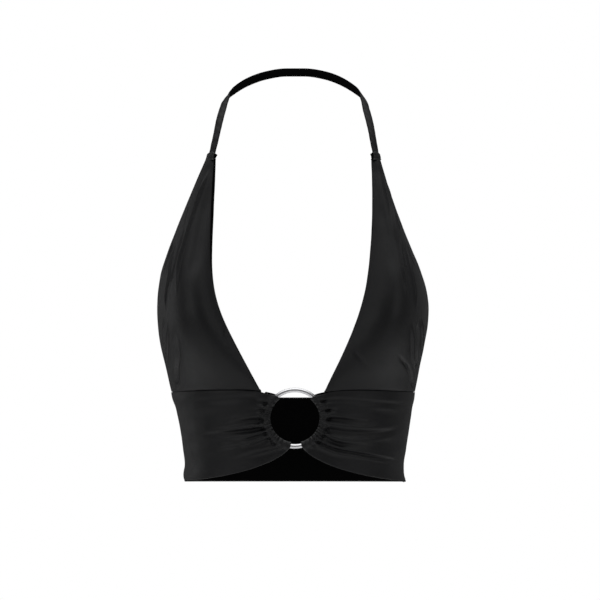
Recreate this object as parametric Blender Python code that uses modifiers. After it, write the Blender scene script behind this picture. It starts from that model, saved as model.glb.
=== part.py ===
"""Halter-neck crop top in its worn form: two cups, two front bands gathered onto a metal ring, a back
band, a neck strap, and the turned tops of the cups that hold it.

Heights count up from the hem, depths count forward from the side seams, and widths count out from the
centre. The finished top is then moved so that the neck strap's inner face at centre back is the origin:
+Z up, the front towards -Y, the wearer's left towards +X.
"""

import math

import bmesh
import bpy
import numpy as np
from mathutils import Matrix, Vector

MM = 0.001

# Cloth and trim, in metres.
CLOTH = 1.5 * MM
SEAM_GAP = 0.3 * MM
SIDE_SEAM_HALF_GAP = 0.27 * MM
STRAP_WIDTH = 6.8 * MM
STRAP_THICKNESS = 2.0 * MM
FOLD_WALL = 1.0 * MM
FOLD_SQUARENESS = 0.72
FOLD_LEVEL_SHARE = 0.6
FOLD_DROOP = 2.5 * MM

# The ring: 61 mm across, of 4.5 mm wire, leaning with the front of the bands.
RING_OUTER = 61.0 * MM
RING_WIRE = 4.5 * MM
RING_CENTRE_X = 0.6 * MM
RING_CENTRE_HEIGHT = 67.9 * MM

# The front bands' tunnel round the ring, and how far they return behind it.
TUNNEL_RADIUS = RING_WIRE / 2 + SEAM_GAP + CLOTH
RETURN_SHARE = 0.13
RING_RISE_SPREAD = 16.0 * MM
GATHER_START = 1.5 * MM
GATHER_GROWTH = 6.0 * MM

# Body sections of the bands: a flat middle, then a quarter ellipse round to the side seam.
FRONT_FLAT = 32.0 * MM
BACK_FLAT = 20.0 * MM
HEM_FRONT_DEPTH = 80.5 * MM
FRONT_LEAN = 0.134
HEM_BACK_DEPTH = 82.0 * MM
BACK_LEAN = 0.066
BACK_HEM_DROP = 0.056
BACK_TOP_DROP = 0.091

# Heights of the underbust line at the side seams and of the cups' tops.
UNDERBUST_HEIGHT = 91.0 * MM
CUP_TOP_HEIGHT = 320.0 * MM

# How fast a cup's rows level out above the curved underbust seam.
SEAM_LIFT_FADE = 16

# Neck strap, middle of the inner face at centre back: the point that becomes the origin.
NECK = Vector((1.0, 67.0, 422.2)) * MM

# Steps of each cloth grid: across or along the piece, then up it.
CUP_STEPS = (16, 20)
BAND_BODY_STEPS = 15
BAND_TUNNEL_STEPS = 7
BAND_RETURN_STEPS = 2
BAND_ROWS = 20
BACK_STEPS = (28, 7)
STRAP_STEPS = (64, 2)
FOLD_STEPS = (16, 4)
RING_STEPS = (44, 10)
MERGE_DISTANCE = 0.01 * MM

SIDES = {"right": -1, "left": 1}

# Half widths of the bands at the side seams, in millimetres.
BAND_WIDTHS = np.array([
    # height, right, left
    (-6, 112.0, 113.9),
    (0, 111.9, 113.7),
    (6, 113.0, 112.0),
    (18, 111.8, 111.4),
    (34, 113.5, 113.7),
    (50, 115.8, 116.1),
    (67, 118.9, 118.6),
    (76, 121.0, 120.0),
    (84, 124.1, 121.9),
    (91, 125.4, 122.6),
    (99, 125.6, 122.7),
])

# The lines of cloth that run from the ring to the side seam, in millimetres and degrees. Ring angles
# count from the ring's top. Each line leaves the ring at its slope and reach, and comes level to the side.
BAND_LINES = np.array([
    # share up, right ring angle, left ring angle, slope, reach, side height, side reach, side rise
    (0.00, 169.5, 164.0, -66, 17.5, 2.2, 90, 0),
    (0.25, 136.5, 132.2, -38, 22.0, 24.5, 75, 0),
    (0.50, 103.5, 100.5, -10, 26.0, 46.5, 70, 0),
    (0.75, 70.5, 68.8, 10, 25.0, 68.8, 70, 1),
    (1.00, 37.7, 38.8, 23, 27.0, 91.0, 70, 1.5),
])

# The largest gathers at the ring, in millimetres. Shares count up the band, as above.
GATHERS = {
    "right": (
        # share at the ring, share at the far end, length, depth, half width
        (0.60, 0.58, 42, 1.2, 2.6),
        (0.48, 0.53, 58, 1.3, 2.8),
        (0.33, 0.32, 32, 1.1, 2.6),
        (0.21, 0.22, 40, 1.3, 2.8),
    ),
    "left": (
        (0.58, 0.57, 36, 1.2, 2.6),
        (0.44, 0.58, 76, 1.3, 3.0),
        (0.34, 0.39, 50, 1.1, 2.6),
        (0.21, 0.24, 118, 1.4, 3.2),
    ),
}

# Cup sections in millimetres and degrees, from the neckline over the crest to the armhole. The turn is
# how far the cloth has turned from facing forward when it reaches the armhole.
CUP_SECTIONS = np.array([
    # height, right neck, left neck, neck depth, crest, crest depth, right arm, left arm, arm depth, turn
    (91, 32.8, 29.5, 93.2, 33.0, 93.2, 125.4, 122.6, 0.2, 90),
    (103, 38.3, 34.4, 96.5, 44.0, 97.5, 127.9, 124.8, 3.5, 88),
    (115, 44.2, 39.8, 99.5, 58.0, 103.0, 130.3, 126.8, 9.0, 85),
    (140, 56.8, 51.1, 105.0, 79.0, 113.5, 135.7, 131.5, 20.0, 80),
    (165, 69.0, 60.9, 107.5, 90.0, 119.0, 138.2, 135.2, 32.0, 77),
    (190, 77.3, 68.5, 105.0, 95.0, 116.0, 137.5, 133.9, 42.0, 74),
    (215, 81.0, 72.8, 98.5, 97.0, 107.5, 133.2, 126.4, 50.0, 69),
    (240, 81.3, 75.4, 90.0, 95.0, 96.5, 124.3, 115.7, 55.0, 62),
    (270, 80.2, 77.0, 79.0, 90.0, 83.5, 112.4, 104.0, 58.0, 52),
    (300, 79.0, 77.2, 68.0, 85.0, 70.0, 100.2, 93.7, 57.5, 42),
    (320, 78.8, 77.0, 59.5, 82.0, 60.2, 91.6, 88.0, 55.5, 35),
])

# The deepest soft folds of the cups, in millimetres. Places are shares across from the neckline.
CUP_FOLDS = {
    "right": (
        # low height, share there, high height, share there, depth, half width
        (96, 0.74, 158, 0.54, 2.2, 6.5),
        (196, 0.31, 304, 0.33, 1.6, 6.0),
    ),
    "left": (
        (112, 0.88, 166, 0.60, 2.2, 6.5),
        (196, 0.34, 304, 0.62, 1.2, 6.0),
    ),
}

# Neck strap, in millimetres and degrees, from the cup's top to centre back. The turn is how far its
# outer face has turned from facing forward.
STRAP_PATH = np.array([
    # right x, left x, depth, height, turn
    (83.7, 81.9, 54.7, 327.6, 42),
    (82.8, 81.5, 52.0, 332.0, 43),
    (79.4, 79.0, 44.5, 345.5, 42),
    (77.0, 77.0, 36.0, 356.0, 38),
    (75.1, 75.0, 25.5, 367.0, 33),
    (73.2, 73.1, 13.5, 377.5, 31),
    (69.8, 70.4, 0.0, 388.5, 41),
    (63.3, 64.3, -13.5, 397.8, 84),
    (52.0, 52.9, -31.0, 407.0, 108),
    (40.0, 41.6, -46.5, 413.6, 130),
    (28.5, 30.5, -57.0, 417.8, 148),
    (14.0, 16.0, -65.5, 421.2, 165),
    (-1.0, 1.0, -68.0, 422.2, 180),
])

# Turned top of each cup, in millimetres: a flat sleeve round the strap's end.
FOLD_SECTIONS = np.array([
    # share up, width, depth
    (0.00, 12.8, 4.4),
    (0.25, 12.6, 5.3),
    (0.60, 12.8, 5.6),
    (0.85, 12.4, 5.6),
    (1.00, 11.6, 5.4),
])

CLOTH_BLACK = (0.012, 0.012, 0.014, 1.0)
STRAP_BLACK = (0.013, 0.013, 0.015, 1.0)
CHROME = (0.72, 0.72, 0.74, 1.0)


def smooth(at, table):
    """The table's other columns at one value of its first column, on a smooth curve through its rows."""
    rows = table[:, 0]
    values = table[:, 1:]
    slopes = np.gradient(values, rows, axis=0)
    index = int(np.clip(np.searchsorted(rows, at) - 1, 0, len(rows) - 2))
    span = rows[index + 1] - rows[index]
    share = (at - rows[index]) / span
    rest = 1 - share
    return (
        (1 + 2 * share) * rest**2 * values[index]
        + share * rest**2 * span * slopes[index]
        + share**2 * (3 - 2 * share) * values[index + 1]
        - share**2 * rest * span * slopes[index + 1]
    )


def ease(share):
    """0 to 1 with level ends."""
    share = min(max(share, 0.0), 1.0)
    return share * share * (3 - 2 * share)


def along(points, share):
    """The point at a share of the length of a line of points."""
    steps = np.linalg.norm(np.diff(points, axis=0), axis=1)
    length = np.concatenate([[0.0], np.cumsum(steps)])
    at = share * length[-1]
    return np.array([np.interp(at, length, column) for column in points.T])


def half_width(side, height):
    """Half width of the bands at a side seam."""
    column = 0 if side == "right" else 1
    return smooth(height / MM, BAND_WIDTHS)[column] * MM


def body_section(flat, width, depth):
    """Points (x, depth) from centre round to the side seam: a flat middle and a quarter ellipse."""
    turn = np.linspace(0, math.pi / 2, 40)
    round_part = np.column_stack([flat + (width - flat) * np.sin(turn), depth * np.cos(turn)])
    return np.vstack([[0.0, depth], round_part])


def front_point(side, reach, height):
    """A point of the bands' front form, at a length round from the centre."""
    depth = HEM_FRONT_DEPTH + FRONT_LEAN * height
    section = body_section(FRONT_FLAT, half_width(side, height), depth)
    steps = np.linalg.norm(np.diff(section, axis=0), axis=1)
    length = np.concatenate([[0.0], np.cumsum(steps)])
    x = np.interp(reach, length, section[:, 0])
    forward = np.interp(reach, length, section[:, 1])
    return Vector((SIDES[side] * x, -forward, height))


def front_girth(side, height):
    """Length of the front form from the centre to the side seam."""
    depth = HEM_FRONT_DEPTH + FRONT_LEAN * height
    section = body_section(FRONT_FLAT, half_width(side, height), depth)
    return np.linalg.norm(np.diff(section, axis=0), axis=1).sum()


def ring_frame():
    """Centre of the ring, its upward direction and its forward direction."""
    depth = HEM_FRONT_DEPTH + FRONT_LEAN * RING_CENTRE_HEIGHT - CLOTH / 2
    lean = math.atan(FRONT_LEAN)
    up = Vector((0, -math.sin(lean), math.cos(lean)))
    forward = Vector((0, -math.cos(lean), -math.sin(lean)))
    return Vector((RING_CENTRE_X, -depth, RING_CENTRE_HEIGHT)), up, forward


def band_line(side, share):
    """Four control points (length from centre, height) of one line of cloth, from ring to side seam."""
    line = smooth(share, BAND_LINES)
    angle = math.radians(line[0] if side == "right" else line[1])
    slope = math.radians(line[2])
    radius = (RING_OUTER - RING_WIRE) / 2
    centre = SIDES[side] * RING_CENTRE_X
    start = Vector((centre + radius * math.sin(angle), RING_CENTRE_HEIGHT + radius * math.cos(angle)))
    leave = start + Vector((math.cos(slope), math.sin(slope))) * line[3] * MM
    side_height = line[4] * MM
    end = Vector((front_girth(side, side_height) - SIDE_SEAM_HALF_GAP, side_height))
    arrive = end + Vector((-line[5], line[6])) * MM
    return angle, (start, leave, arrive, end)


def on_line(points, share):
    """A point of a cubic curve with four control points."""
    rest = 1 - share
    weights = (rest**3, 3 * rest**2 * share, 3 * rest * share**2, share**3)
    return sum((weight * point for weight, point in zip(weights, points)), Vector((0, 0)))


def seam_height(side, reach):
    """Height of the underbust seam, which is the top line of the front band."""
    _, line = band_line(side, 1.0)
    points = [on_line(line, step / 40) for step in range(41)]
    return np.interp(reach, [point.x for point in points], [point.y for point in points])


def gather_depth(side, share, distance):
    """How far the gathers sink the front band, at a share up it and a distance from the ring."""
    depth = 0.0
    for at_ring, at_end, length, fold_depth, half in GATHERS[side]:
        along_fold = distance / (length * MM)
        if along_fold >= 1:
            continue
        middle = at_ring + (at_end - at_ring) * along_fold
        spread = 68 + 18 * along_fold
        away = (share - middle) * spread / half
        fade = ease((distance - GATHER_START) / GATHER_GROWTH) * (1 - ease(along_fold))
        depth += fold_depth * MM * math.exp(-away * away) * fade
    return depth


def band_point(side, across, share):
    """Outer face of a front band: side seam, body, tunnel round the ring, then the return behind it."""
    angle, line = band_line(side, share)
    centre, up, forward = ring_frame()
    radial = Vector((SIDES[side] * math.sin(angle), 0, 0)) + up * math.cos(angle)
    wire = centre + radial * (RING_OUTER - RING_WIRE) / 2
    steps = BAND_BODY_STEPS + BAND_TUNNEL_STEPS + BAND_RETURN_STEPS
    step = across * steps
    if step <= BAND_BODY_STEPS:
        toward_side = 1 - step / BAND_BODY_STEPS
        reach, height = on_line(line, toward_side**1.25)
        point = front_point(side, reach, height)
        start = line[0]
        distance = (Vector((reach, height)) - start).length
        rise = (TUNNEL_RADIUS - CLOTH / 2) * (1 - ease(distance / RING_RISE_SPREAD))
        sink = gather_depth(side, share, distance)
        return point + forward * (rise - sink)
    if step <= BAND_BODY_STEPS + BAND_TUNNEL_STEPS:
        turn = math.pi * (step - BAND_BODY_STEPS) / BAND_TUNNEL_STEPS
        return wire + (forward * math.cos(turn) - radial * math.sin(turn)) * TUNNEL_RADIUS
    back = (step - BAND_BODY_STEPS - BAND_TUNNEL_STEPS) / BAND_RETURN_STEPS
    reach, height = on_line(line, RETURN_SHARE * back)
    return front_point(side, reach, height) - forward * (TUNNEL_RADIUS + CLOTH / 2)


def cup_section(side, height):
    """Points (x, depth) of a cup's section, from the neckline over the crest to the armhole."""
    row = smooth(height / MM, CUP_SECTIONS) * MM
    neck, arm = (row[0], row[5]) if side == "right" else (row[1], row[6])
    neck_depth, crest, crest_depth, arm_depth = row[2], row[3], row[4], row[7]
    end_turn = math.radians(row[8] / MM)
    rise = np.linspace(0, 1, 16)[:-1]
    inner = np.column_stack([
        neck + (crest - neck) * rise,
        crest_depth - (crest_depth - neck_depth) * (1 - rise) ** 2,
    ])
    turn = np.linspace(0, end_turn, 36)
    outer = np.column_stack([
        crest + (arm - crest) * np.sin(turn) / math.sin(end_turn),
        crest_depth - (crest_depth - arm_depth) * (1 - np.cos(turn)) / (1 - math.cos(end_turn)),
    ])
    return np.vstack([inner, outer])


def fold_depth(side, height, across, width):
    """How far a cup's soft folds sink it."""
    depth = 0.0
    for low, low_share, high, high_share, deep, half in CUP_FOLDS[side]:
        along_fold = (height / MM - low) / (high - low)
        if not 0 < along_fold < 1:
            continue
        middle = low_share + (high_share - low_share) * along_fold
        away = (across - middle) * width / (half * MM)
        depth += deep * MM * math.exp(-away * away) * math.sin(math.pi * along_fold) ** 0.8
    return depth


def cup_point(side, across, share):
    """Outer face of a cup: from neckline to armhole, and from the underbust seam to its top."""
    height = UNDERBUST_HEIGHT + (CUP_TOP_HEIGHT - UNDERBUST_HEIGHT) * share
    section = cup_section(side, height)
    x, forward = along(section, across)
    ahead_x, ahead_forward = along(section, min(across + 0.01, 1.0))
    behind_x, behind_forward = along(section, max(across - 0.01, 0.0))
    tangent = Vector((ahead_x - behind_x, ahead_forward - behind_forward)).normalized()
    width = np.linalg.norm(np.diff(section, axis=0), axis=1).sum()
    sink = fold_depth(side, height, across, width)
    x += tangent.y * sink
    forward -= tangent.x * sink
    neck_reach = section[0, 0]
    seam = seam_height(side, neck_reach + across * width) + SEAM_GAP
    lifted = height + (seam - UNDERBUST_HEIGHT) * (1 - share) ** SEAM_LIFT_FADE
    return Vector((SIDES[side] * x, -forward, lifted))


def back_point(_side, across, share):
    """Outer face of the back band, from the right side seam round the back to the left one."""
    side = "right" if across < 0.5 else "left"
    from_middle = abs(across - 0.5) * 2
    height = UNDERBUST_HEIGHT * share
    depth = HEM_BACK_DEPTH + BACK_LEAN * height
    section = body_section(BACK_FLAT, half_width(side, height), depth)
    x, behind = along(section, from_middle)
    behind = max(behind, SIDE_SEAM_HALF_GAP)
    low = -BACK_HEM_DROP * behind
    high = UNDERBUST_HEIGHT - BACK_TOP_DROP * behind
    return Vector((SIDES[side] * x, behind, low + (high - low) * share))


def strap_frame(share):
    """Middle of the neck strap, its direction and its outer face's direction, from right cup to left."""
    from_middle = abs(share - 0.5) * 2
    side = "right" if share < 0.5 else "left"

    def path_point(at):
        column = 0 if side == "right" else 1
        rows = np.column_stack([np.linspace(1, 0, len(STRAP_PATH)), STRAP_PATH])[::-1]
        row = smooth(at, rows)
        return Vector((SIDES[side] * row[column], -row[2], row[3])) * MM, row[4]

    point, turn = path_point(from_middle)
    ahead, _ = path_point(min(from_middle + 0.005, 1.0))
    behind, _ = path_point(max(from_middle - 0.005, 0.0))
    direction = (behind - ahead).normalized() * -SIDES[side]
    turn = math.radians(turn)
    face = Vector((SIDES[side] * math.sin(turn), -math.cos(turn), 0))
    face = (face - direction * face.dot(direction)).normalized()
    return point, direction, face


def strap_point(_side, along_strap, across):
    """Outer face of the neck strap."""
    point, direction, face = strap_frame(along_strap)
    width_direction = direction.cross(face)
    return point + face * STRAP_THICKNESS / 2 + width_direction * STRAP_WIDTH * (across - 0.5)


def fold_point(side, around, share):
    """Outer face of a cup's turned top, round the strap's end."""
    width, depth = smooth(share, FOLD_SECTIONS) * MM
    column = 0 if side == "right" else 1
    top = cup_section(side, CUP_TOP_HEIGHT)
    middle_x, middle_forward = along(top, 0.5)
    low = Vector((SIDES[side] * middle_x, CLOTH / 2 - middle_forward, CUP_TOP_HEIGHT + 2 * SEAM_GAP))
    path = STRAP_PATH[1]
    high = Vector((SIDES[side] * path[column], -path[2], path[3])) * MM
    axis = (high - low).normalized()
    turn = math.radians(path[4])
    face = Vector((SIDES[side] * math.sin(turn), -math.cos(turn), 0))
    face = (face - axis * face.dot(axis)).normalized()
    sideways = axis.cross(face)
    angle = 2 * math.pi * around
    out_x = math.copysign(abs(math.cos(angle)) ** FOLD_SQUARENESS, math.cos(angle))
    out_y = math.copysign(abs(math.sin(angle)) ** FOLD_SQUARENESS, math.sin(angle))
    out = sideways * out_x * width / 2 + face * out_y * depth / 2
    out.z *= ease(share / FOLD_LEVEL_SHARE)
    droop = axis * FOLD_DROOP * abs(out_x) ** 3 * share
    return low + (high - low) * share + out - droop


def clear_scene():
    for old in list(bpy.data.objects):
        bpy.data.objects.remove(old, do_unlink=True)


def surface_material(name, colour, roughness, metallic):
    material = bpy.data.materials.new(name)
    material.use_nodes = True
    shader = material.node_tree.nodes["Principled BSDF"]
    shader.inputs["Base Color"].default_value = colour
    shader.inputs["Roughness"].default_value = roughness
    shader.inputs["Metallic"].default_value = metallic
    return material


def cloth_piece(name, side, place, steps, wall, material, collection, closed=False):
    """A cloth piece: a flat grid laid onto its outer form, with its wall added on the inside."""
    mesh = bpy.data.meshes.new(name)
    form = bmesh.new()
    bmesh.ops.create_grid(form, x_segments=steps[0], y_segments=steps[1], size=0.5)
    for vertex in form.verts:
        vertex.co = place(side, vertex.co.x + 0.5, vertex.co.y + 0.5) - NECK
    if closed:
        bmesh.ops.remove_doubles(form, verts=form.verts, dist=MERGE_DISTANCE)
    form.normal_update()
    middle = sum((face.calc_center_median() for face in form.faces), Vector()) / len(form.faces)
    outward = sum(face.normal.dot(face.calc_center_median() - middle) * face.calc_area()
                  for face in form.faces)
    if outward < 0:
        bmesh.ops.reverse_faces(form, faces=form.faces)
    form.to_mesh(mesh)
    form.free()
    mesh.shade_smooth()
    mesh.materials.append(material)
    piece = bpy.data.objects.new(name, mesh)
    collection.objects.link(piece)
    solidify = piece.modifiers.new("wall", "SOLIDIFY")
    solidify.thickness = wall
    solidify.offset = -1
    solidify.use_even_offset = True
    return piece


def ring_piece(name, material, collection):
    """The metal ring, a torus in the leaning plane of the bands' front."""
    centre, up, forward = ring_frame()
    bpy.ops.mesh.primitive_torus_add(
        major_radius=(RING_OUTER - RING_WIRE) / 2,
        minor_radius=RING_WIRE / 2,
        major_segments=RING_STEPS[0],
        minor_segments=RING_STEPS[1],
    )
    ring = bpy.context.active_object
    ring.name = name
    ring.data.name = name
    for other in list(ring.users_collection):
        other.objects.unlink(ring)
    collection.objects.link(ring)
    sideways = up.cross(forward)
    turn = Matrix((sideways, up, forward)).transposed().to_4x4()
    ring.matrix_world = Matrix.Translation(centre - NECK) @ turn
    ring.data.shade_smooth()
    ring.data.materials.append(material)
    return ring


def build():
    clear_scene()
    collection = bpy.data.collections.new("halter_crop_top")
    bpy.context.scene.collection.children.link(collection)
    cloth = surface_material("black_stretch_cloth", CLOTH_BLACK, 0.55, 0.0)
    strap_cloth = surface_material("black_strap_cloth", STRAP_BLACK, 0.55, 0.0)
    chrome = surface_material("polished_chrome", CHROME, 0.12, 1.0)
    band_steps = (BAND_BODY_STEPS + BAND_TUNNEL_STEPS + BAND_RETURN_STEPS, BAND_ROWS)
    for side in SIDES:
        cloth_piece(side + "_cup", side, cup_point, CUP_STEPS, CLOTH, cloth, collection)
        cloth_piece(side + "_front_band", side, band_point, band_steps, CLOTH, cloth, collection)
        cloth_piece(side + "_top_fold", side, fold_point, FOLD_STEPS, FOLD_WALL, cloth, collection, True)
    cloth_piece("back_band", None, back_point, BACK_STEPS, CLOTH, cloth, collection)
    cloth_piece("neck_strap", None, strap_point, STRAP_STEPS, STRAP_THICKNESS, strap_cloth, collection)
    ring_piece("ring", chrome, collection)


build()
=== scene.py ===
"""A halter-neck crop top of black stretch jersey, filled out as it is when worn: two front bands gathered
onto a chrome ring, a back band, two cups with turned tops, and a narrow neck strap. Lengths are in metres,
counted from the middle of the hem: the wearer's left is +X, the front is -Y and the neck is +Z."""

import math

import bmesh
import bpy
import numpy as np
from mathutils import Matrix, Vector


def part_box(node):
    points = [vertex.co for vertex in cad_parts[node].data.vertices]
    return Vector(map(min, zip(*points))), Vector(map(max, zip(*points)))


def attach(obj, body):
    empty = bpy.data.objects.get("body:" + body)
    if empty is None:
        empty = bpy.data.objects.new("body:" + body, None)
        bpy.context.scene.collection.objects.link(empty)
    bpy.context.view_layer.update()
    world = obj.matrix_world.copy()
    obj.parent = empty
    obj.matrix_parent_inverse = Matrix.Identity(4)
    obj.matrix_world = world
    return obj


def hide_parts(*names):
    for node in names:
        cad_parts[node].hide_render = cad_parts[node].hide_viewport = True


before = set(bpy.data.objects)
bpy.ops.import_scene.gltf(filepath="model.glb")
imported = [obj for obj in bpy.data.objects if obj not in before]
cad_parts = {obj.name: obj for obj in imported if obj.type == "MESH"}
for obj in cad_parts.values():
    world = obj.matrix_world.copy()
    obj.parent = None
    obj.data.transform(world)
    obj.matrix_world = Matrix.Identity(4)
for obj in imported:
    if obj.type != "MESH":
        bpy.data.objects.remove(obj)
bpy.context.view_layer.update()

# ------------------------------------------------------------------------------------------ the studio
# The top hangs as if worn, over a pale floor, between two pairs of tall soft boxes. The paper round it is
# brightly lit overhead and dim on a level with it, so the chrome shows a dark line between light ones.

RING_HEIGHT = 0.0679  # the ring's middle above the hem
RING_ASIDE = 0.0006  # and to the wearer's left of the middle
SIDE_GAP = 0.00027  # from the side seam's line to each cloth edge
CAMERA_PLACE = (0.0056, -3.2, 0.1849)  # from the middle of the hem
AIM_HEIGHT = 0.2  # where the soft boxes point
FLOOR_DROP = 0.85  # below the hem
FLOOR_SIZE = 3.2

ring_low, ring_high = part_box("ring")
ring_box_middle = (ring_low + ring_high) / 2
back_band_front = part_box("back_band")[0].y
hem_middle = Vector((
    ring_box_middle.x - RING_ASIDE,
    back_band_front - SIDE_GAP,
    ring_box_middle.z - RING_HEIGHT,
))

camera_data = bpy.data.cameras.new("camera")
camera_data.sensor_width = 36.0
camera_data.lens = 188.6
camera_data.clip_end = 60.0
camera = bpy.data.objects.new("camera", camera_data)
camera.location = hem_middle + Vector(CAMERA_PLACE)
camera.rotation_euler = (math.pi / 2, 0, 0)
bpy.context.scene.collection.objects.link(camera)
bpy.context.scene.camera = camera
bpy.context.scene.view_settings.view_transform = "Standard"
bpy.context.scene.view_settings.look = "None"


def soft_box(name, place, width, height, power):
    """A rectangular light, aimed at the middle of the top."""
    light_data = bpy.data.lights.new(name, "AREA")
    light_data.shape = "RECTANGLE"
    light_data.size = width
    light_data.size_y = height
    light_data.energy = power
    light = bpy.data.objects.new(name, light_data)
    light.location = hem_middle + Vector(place)
    aim = hem_middle + Vector((0, 0, AIM_HEIGHT)) - light.location
    light.rotation_euler = aim.to_track_quat("-Z", "Y").to_euler()
    bpy.context.scene.collection.objects.link(light)


soft_box("right_hand_soft_box", (-1.7, 1.05, 0.35), 0.6, 1.6, 2.2)
soft_box("left_hand_soft_box", (1.7, 1.05, 0.35), 0.6, 1.6, 0.2)
soft_box("front_right_hand_soft_box", (-1.7, -1.5, 0.5), 0.35, 1.6, 7)
soft_box("front_left_hand_soft_box", (1.7, -1.5, 0.5), 0.35, 1.6, 5)

world = bpy.data.worlds.new("white_paper")
world.use_nodes = True
world_nodes, world_links = world.node_tree.nodes, world.node_tree.links
world_nodes.clear()
seen = world_nodes.new("ShaderNodeLightPath")
direction = world_nodes.new("ShaderNodeTexCoord")
direction_parts = world_nodes.new("ShaderNodeSeparateXYZ")
above_share = world_nodes.new("ShaderNodeMapRange")
above_share.inputs["From Min"].default_value = 0.64
above_share.inputs["From Max"].default_value = 0.72
walls = world_nodes.new("ShaderNodeMixRGB")
walls.inputs["Color1"].default_value = (0.18, 0.18, 0.18, 1)
walls.inputs["Color2"].default_value = (1.2, 1.2, 1.2, 1)
paper = world_nodes.new("ShaderNodeMixRGB")
paper.inputs["Color2"].default_value = (1, 1, 1, 1)
background = world_nodes.new("ShaderNodeBackground")
world_output = world_nodes.new("ShaderNodeOutputWorld")
world_links.new(direction.outputs["Generated"], direction_parts.inputs["Vector"])
world_links.new(direction_parts.outputs["Z"], above_share.inputs["Value"])
world_links.new(above_share.outputs["Result"], walls.inputs["Fac"])
world_links.new(walls.outputs["Color"], paper.inputs["Color1"])
world_links.new(seen.outputs["Is Camera Ray"], paper.inputs["Fac"])
world_links.new(paper.outputs["Color"], background.inputs["Color"])
world_links.new(background.outputs["Background"], world_output.inputs["Surface"])
bpy.context.scene.world = world

bpy.ops.mesh.primitive_plane_add(size=FLOOR_SIZE, location=hem_middle - Vector((0, 0, FLOOR_DROP)))
floor = bpy.context.active_object
floor.name = "floor"
floor_material = bpy.data.materials.new("pale_floor")
floor_material.use_nodes = True
floor_nodes, floor_links = floor_material.node_tree.nodes, floor_material.node_tree.links
floor_shader = floor_nodes["Principled BSDF"]
floor_shader.inputs["Roughness"].default_value = 0.9
floor_grain = floor_nodes.new("ShaderNodeTexNoise")
floor_grain.inputs["Scale"].default_value = 3.0
floor_place = floor_nodes.new("ShaderNodeTexCoord")
floor_tone = floor_nodes.new("ShaderNodeMixRGB")
floor_tone.inputs["Color1"].default_value = (0.74, 0.74, 0.74, 1)
floor_tone.inputs["Color2"].default_value = (0.80, 0.80, 0.80, 1)
floor_links.new(floor_place.outputs["Object"], floor_grain.inputs["Vector"])
floor_links.new(floor_grain.outputs["Fac"], floor_tone.inputs["Fac"])
floor_links.new(floor_tone.outputs["Color"], floor_shader.inputs["Base Color"])
floor.data.materials.append(floor_material)

# ------------------------------------------------------------------------------------------ front bands
# One panel of doubled stretch jersey on each side. Its inner end is folded back round the ring and
# stitched down behind, which gathers it. Its top is the underbust seam, and its outer edge the side seam.

CLOTH = 0.0015
SEAM_GAP = 0.0003
RING_RADIUS = 0.02825  # to the middle of the wire
RING_WIRE = 0.0045
TUNNEL_RADIUS = RING_WIRE / 2 + SEAM_GAP + CLOTH
FRONT_FLAT = 0.032  # flat middle of the front, to one side
HEM_FRONT_DEPTH = 0.0805
FRONT_LEAN = 0.134  # forward for each metre up
RING_RISE_SPREAD = 0.0085  # over which the cloth rises onto the wire
CHANNEL_STITCH = 0.0055  # from the wire's middle
CHANNEL_STITCH_DEPTH = 0.0004
CHANNEL_STITCH_SPREAD = 0.0016
TOP_SAG = 0.0013  # of the top edge beside the ring
RETURN_SHARE = 0.13  # of the way back to the side seam, behind the ring
EDGE_ROLL = 0.0011  # radius of a folded edge
SEAM_ROLL = 0.0003  # and of the edge at the underbust seam
WIRE_CLEARANCE = 0.0001  # least room that a pucker leaves between the cloth and the wire
LEAST_WALL = 0.25  # of the full wall
BAND_HEIGHT = 0.09  # near enough, for its slow waves
BAND_UNEVENNESS = 0.00022
SIDES = {"right": -1, "left": 1}

# Half widths at the side seams, in millimetres.
BAND_WIDTHS = np.array([
    # height, right, left
    (-6, 112.0, 113.9),
    (0, 111.9, 113.7),
    (6, 113.0, 112.0),
    (18, 111.8, 111.4),
    (34, 113.5, 113.7),
    (50, 115.8, 116.1),
    (67, 118.9, 118.6),
    (76, 121.0, 120.0),
    (84, 124.1, 121.9),
    (91, 125.4, 122.6),
    (99, 125.6, 122.7),
])

# Lines of cloth from the ring to the side seam, in millimetres and degrees: where each leaves the ring,
# how steeply and how far it holds that slope, and how it comes level at the side.
BAND_LINES = np.array([
    # share up, right ring angle, left ring angle, slope, reach, side height, side reach, side rise
    (0.00, 171.0, 166.5, -66, 17.5, 2.2, 90, 0),
    (0.25, 136.5, 132.2, -38, 22.0, 24.5, 75, 0),
    (0.50, 103.5, 100.5, -10, 26.0, 46.5, 70, 0),
    (0.75, 70.5, 68.8, 10, 25.0, 68.8, 70, 1),
    (1.00, 37.7, 38.8, 23, 27.0, 91.0, 70, 1.5),
])

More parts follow.
